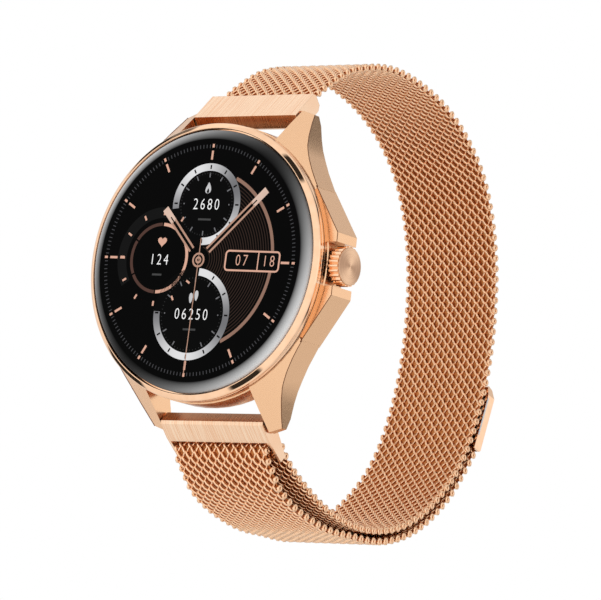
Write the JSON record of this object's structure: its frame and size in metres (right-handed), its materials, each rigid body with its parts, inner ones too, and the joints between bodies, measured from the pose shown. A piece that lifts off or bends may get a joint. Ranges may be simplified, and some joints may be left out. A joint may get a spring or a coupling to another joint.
{
  "type": "smartwatch",
  "caption": "Round smartwatch with a curved cover glass, polished bezel, sloping lugs, guarded turning push crown and a closed magnetic mesh strap folded through a slide ring.",
  "frame": {"origin": "middle of the flat sensor window on the case back, where the watch lies on the wrist", "axes": "+X towards the crown at 3 o'clock, +Z towards 12 o'clock, -Y out of the dial"},
  "size_m": [0.0464, 0.0721, 0.0758],
  "materials": {
    "satin_rose": "satin rose-gold plating",
    "polished_rose": "polished rose-gold plating",
    "mesh_band": "woven rose-gold steel wire",
    "steel": "bare steel",
    "black_glass": "polished black-backed glass",
    "display": "black display",
    "black_plastic": "matte black moulding",
    "circuit_board": "green circuit board",
    "battery_foil": "foil pouch",
    "seal_rubber": "black seal",
    "gold_contact": "gold-plated contact"
  },
  "bodies": {
    "watch": {"case_middle": "satin_rose", "bezel": "polished_rose", "cover_glass": "black_glass", "glass_gasket": "seal_rubber", "display_panel": "display", "display_bracket": "black_plastic", "main_board": "circuit_board", "processor_shield": "steel", "battery": "battery_foil", "vibration_motor": "steel", "back_cover": "black_plastic", "back_gasket": "seal_rubber", "sensor_window": "black_glass", "sensor_board": "circuit_board", "charge_contact_1": "gold_contact", "charge_contact_2": "gold_contact", "back_screw_1": "steel", "back_screw_2": "steel", "back_screw_3": "steel", "back_screw_4": "steel", "upper_spring_bar": "steel", "lower_spring_bar": "steel", "crown_tube": "steel", "push_switch": "black_plastic", "switch_holder": "black_plastic", "band_back": "mesh_band", "band_lower": "mesh_band"},
    "crown_press": {"crown_carrier": "black_plastic", "switch_stem": "steel"},
    "crown": {"crown": "satin_rose", "crown_shaft": "steel", "crown_o_ring": "seal_rubber", "crown_clip": "steel", "encoder_magnet": "steel"},
    "upper_link": {"upper_end_link": "satin_rose", "band_upper": "mesh_band"},
    "ring": {"slide_ring": "satin_rose", "ring_far_bar": "polished_rose", "band_fold": "mesh_band"},
    "tail_near": {"tail_1": "mesh_band"},
    "tail_middle": {"tail_2": "mesh_band"},
    "tail_end": {"tail_3": "mesh_band", "tab_shell": "polished_rose", "tab_plate": "steel", "tab_magnet_1": "steel", "tab_magnet_2": "steel"}
  },
  "joints": [
    {"name": "crown_push", "type": "slide", "parent": "watch", "child": "crown_press", "axis": [-1, 0, 0], "range_m": [0, 0.0005], "stiffness_N_per_m": 2000, "springref_m": -0.0005},
    {"name": "crown_turn", "type": "hinge", "parent": "crown_press", "child": "crown", "pos_m": [0.0225, -0.00475, 0], "axis": [1, 0, 0], "continuous": true},
    {"name": "upper_link_pivot", "type": "hinge", "parent": "watch", "child": "upper_link", "pos_m": [0, -0.0008, 0.0238], "axis": [1, 0, 0], "range_deg": [-6, 6], "deforming": ["band_upper"]},
    {"name": "slide_ring_pivot", "type": "hinge", "parent": "watch", "child": "ring", "pos_m": [0, -0.0008, -0.0238], "axis": [1, 0, 0], "range_deg": [-6, 6], "deforming": ["band_fold"]},
    {"name": "tail_peel_near", "type": "hinge", "parent": "watch", "child": "tail_near", "pos_m": [0, 0.00756, -0.03512], "axis": [-1, 0, 0], "range_deg": [0, 35]},
    {"name": "tail_peel_middle", "type": "hinge", "parent": "tail_near", "child": "tail_middle", "pos_m": [0, 0.02339, -0.03811], "axis": [-1, 0, 0], "range_deg": [0, 35]},
    {"name": "tail_peel_end", "type": "hinge", "parent": "tail_middle", "child": "tail_end", "pos_m": [0, 0.04126, -0.03556], "axis": [-1, 0, 0], "range_deg": [0, 35]}
  ]
}
